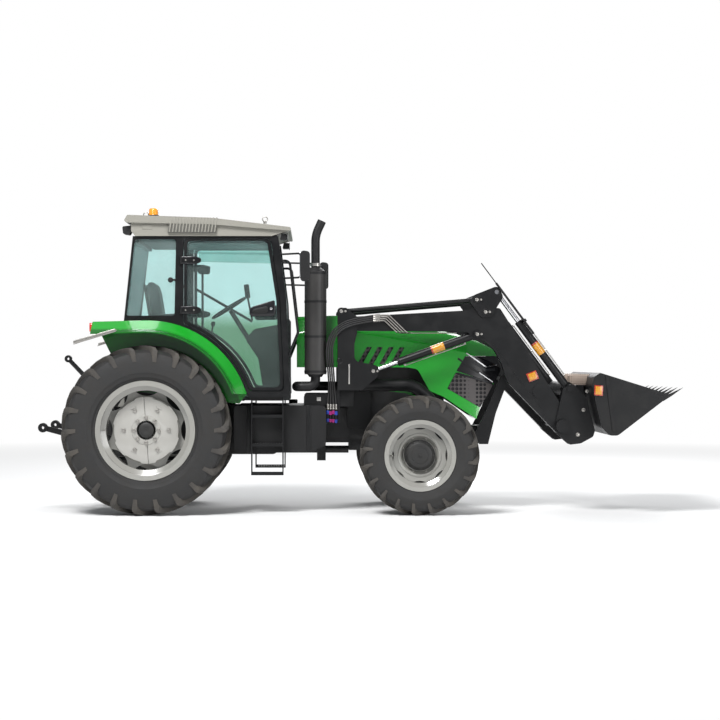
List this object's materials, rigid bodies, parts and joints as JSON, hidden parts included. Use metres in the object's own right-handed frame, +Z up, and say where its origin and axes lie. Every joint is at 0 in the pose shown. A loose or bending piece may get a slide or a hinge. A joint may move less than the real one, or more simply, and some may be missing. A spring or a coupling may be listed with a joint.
{
  "type": "cab tractor with front loader",
  "caption": "Four-wheel-drive farm tractor with a glazed cab, side exhaust and three-point linkage, carrying a self-levelling front loader with a toothed bucket.",
  "frame": {"origin": "on the ground, under the middle of the overall length", "axes": "+X forward, +Y to the driver's left, +Z up"},
  "size_m": [6.226, 2.135, 2.952],
  "materials": {
    "green_paint": "gloss",
    "black_paint": "satin",
    "rim_paint": "satin",
    "tyre_rubber": "matte",
    "cab_glass": "clear",
    "roof_shell": "satin",
    "dark_plastic": "matte",
    "cast_dark": "matte",
    "chrome_rod": "polished",
    "pin_steel": "satin",
    "amber_lens": "gloss",
    "lamp_lens": "gloss",
    "seat_cloth": "matte",
    "exhaust_paint": "matte",
    "hose_rubber": "matte"
  },
  "bodies": {
    "tractor": {"transmission": "cast_dark", "engine": "cast_dark", "front_frame": "cast_dark", "front_axle": "cast_dark", "drawbar": "black_paint", "rear_links": "black_paint", "cab_frame": "black_paint", "cab_roof": "roof_shell", "cab_floor": "dark_plastic", "cab_glass": "cab_glass", "fenders": "green_paint", "seat": "seat_cloth", "dashboard": "dark_plastic", "side_panels": "green_paint", "exhaust": "exhaust_paint", "cab_steps": "black_paint", "side_tanks": "dark_plastic", "mirrors": "dark_plastic", "handrails": "black_paint", "beacon": "amber_lens", "lamps": "lamp_lens", "loader_towers": "black_paint", "front_guard": "black_paint", "fender_stays": "pin_steel", "battery_boxes": "dark_plastic", "tower_hoses": "hose_rubber", "couplers": "dark_plastic"},
    "rear_wheel_right": {"rear_tyre_right": "tyre_rubber", "rear_rim_right": "rim_paint"},
    "rear_wheel_left": {"rear_tyre_left": "tyre_rubber", "rear_rim_left": "rim_paint"},
    "knuckle_right": {"knuckle_right": "cast_dark"},
    "knuckle_left": {"knuckle_left": "cast_dark"},
    "front_wheel_right": {"front_tyre_right": "tyre_rubber", "front_rim_right": "rim_paint"},
    "front_wheel_left": {"front_tyre_left": "tyre_rubber", "front_rim_left": "rim_paint"},
    "tie_rod": {"tie_rod": "black_paint"},
    "steering_wheel": {"steering_wheel": "dark_plastic"},
    "hood": {"hood": "green_paint", "grille": "dark_plastic", "head_lamps": "lamp_lens"},
    "door_right": {"door_right": "black_paint", "door_glass_right": "cab_glass"},
    "door_left": {"door_left": "black_paint", "door_glass_left": "cab_glass"},
    "boom": {"boom_arms": "black_paint", "boom_hoses": "hose_rubber", "boom_pipes": "pin_steel"},
    "level_rods": {"level_rods": "black_paint"},
    "bell_cranks": {"bell_cranks": "black_paint"},
    "lift_barrels": {"lift_barrels": "black_paint"},
    "lift_rods": {"lift_rods": "chrome_rod"},
    "hitch_pins": {"hitch_pins": "pin_steel"},
    "bucket": {"hitch_frame": "black_paint", "bucket": "black_paint"},
    "tilt_pins": {"tilt_pins": "pin_steel"},
    "tilt_barrels": {"tilt_barrels": "black_paint", "level_indicator": "dark_plastic"},
    "tilt_rods": {"tilt_rods": "chrome_rod"}
  },
  "joints": [
    {"name": "rear_wheel_right_roll", "type": "hinge", "parent": "tractor", "child": "rear_wheel_right", "pos_m": [-2.009, -0.83, 0.812], "axis": [0, 1, 0], "continuous": true},
    {"name": "rear_wheel_left_roll", "type": "hinge", "parent": "tractor", "child": "rear_wheel_left", "pos_m": [-2.009, 0.83, 0.812], "axis": [0, 1, 0], "continuous": true},
    {"name": "steering", "type": "hinge", "parent": "tractor", "child": "knuckle_right", "pos_m": [0.606, -0.55, 0.572], "axis": [0, 0, 1], "range_deg": [-30, 30]},
    {"name": "steering_left", "type": "hinge", "parent": "tractor", "child": "knuckle_left", "pos_m": [0.606, 0.55, 0.572], "axis": [0, 0, 1], "range_deg": [-30.05, 30.05]},
    {"name": "tie_rod_shift", "type": "slide", "parent": "tractor", "child": "tie_rod", "axis": [0, 1, 0], "range_m": [-0.1052, 0.1052]},
    {"name": "steering_wheel_turn", "type": "hinge", "parent": "tractor", "child": "steering_wheel", "pos_m": [-1.259, 0, 2.006], "axis": [-0.5299, 0, 0.848], "range_deg": [-360.5, 360.5]},
    {"name": "front_wheel_right_roll", "type": "hinge", "parent": "knuckle_right", "child": "front_wheel_right", "pos_m": [0.606, -0.83, 0.572], "axis": [0, 1, 0], "continuous": true},
    {"name": "front_wheel_left_roll", "type": "hinge", "parent": "knuckle_left", "child": "front_wheel_left", "pos_m": [0.606, 0.83, 0.572], "axis": [0, 1, 0], "continuous": true},
    {"name": "boom_lift", "type": "hinge", "parent": "tractor", "child": "boom", "pos_m": [-0.056, 0, 1.837], "axis": [0, -1, 0], "range_deg": [-17, 63], "deforming": ["tower_hoses", "boom_hoses"]},
    {"name": "level_rod_turn", "type": "hinge", "parent": "tractor", "child": "level_rods", "pos_m": [-0.141, 0, 1.956], "axis": [0, -1, 0], "range_deg": [-17.02, 63.02]},
    {"name": "bell_crank_level", "type": "hinge", "parent": "boom", "child": "bell_cranks", "pos_m": [1.256, 0, 1.949], "axis": [0, -1, 0], "range_deg": [-63.02, 17.02]},
    {"name": "lift_barrel_turn", "type": "hinge", "parent": "boom", "child": "lift_barrels", "pos_m": [1.176, 0, 1.734], "axis": [0, -1, 0], "range_deg": [-6.32, 1.72]},
    {"name": "lift_rod_slide", "type": "slide", "parent": "lift_barrels", "child": "lift_rods", "axis": [-0.9422, 0, -0.335], "range_m": [-0.1427, 0.5276]},
    {"name": "hitch_level", "type": "hinge", "parent": "boom", "child": "hitch_pins", "pos_m": [1.997, 0, 0.844], "axis": [0, -1, 0], "range_deg": [-37.82, 10.22]},
    {"name": "bucket_tilt", "type": "hinge", "parent": "hitch_pins", "child": "bucket", "pos_m": [1.997, 0, 0.844], "axis": [0, 1, 0], "range_deg": [-8, 70]},
    {"name": "tilt_pin_turn", "type": "hinge", "parent": "bucket", "child": "tilt_pins", "pos_m": [2.07, 0, 1.199], "axis": [0, -1, 0], "range_deg": [-10.18, 37.67]},
    {"name": "tilt_barrel_turn", "type": "hinge", "parent": "tilt_pins", "child": "tilt_barrels", "pos_m": [2.07, 0, 1.199], "axis": [0, -1, 0], "range_deg": [-7.98, 69.68]},
    {"name": "tilt_rod_slide", "type": "slide", "parent": "tilt_barrels", "child": "tilt_rods", "axis": [-0.5967, 0, 0.8024], "range_m": [-0.0456, 0.3952]},
    {"name": "hood_open", "type": "hinge", "parent": "tractor", "child": "hood", "pos_m": [-0.548, 0, 1.895], "axis": [0, -1, 0], "range_deg": [0, 40]},
    {"name": "door_right_open", "type": "hinge", "parent": "tractor", "child": "door_right", "pos_m": [-1.69, -0.776, 1.9], "axis": [0, 0, -1], "range_deg": [0, 70]},
    {"name": "door_left_open", "type": "hinge", "parent": "tractor", "child": "door_left", "pos_m": [-1.69, 0.776, 1.9], "axis": [0, 0, 1], "range_deg": [0, 70]}
  ],
  "couplings": [
    {"joint": "steering_left", "follows": "steering", "ratio": 1},
    {"joint": "tie_rod_shift", "follows": "steering", "m_per_rad": -0.2},
    {"joint": "steering_wheel_turn", "follows": "steering", "ratio": 12},
    {"joint": "level_rod_turn", "follows": "boom_lift", "ratio": 1},
    {"joint": "bell_crank_level", "follows": "boom_lift", "ratio": -1},
    {"joint": "lift_barrel_turn", "follows": "boom_lift", "ratio": -0.1},
    {"joint": "lift_rod_slide", "follows": "boom_lift", "m_per_rad": 0.4794},
    {"joint": "hitch_level", "follows": "boom_lift", "ratio": -0.6},
    {"joint": "tilt_pin_turn", "follows": "boom_lift", "ratio": 0.59767},
    {"joint": "tilt_barrel_turn", "follows": "bucket_tilt", "ratio": 0.99508},
    {"joint": "tilt_rod_slide", "follows": "bucket_tilt", "m_per_rad": 0.32303}
  ]
}
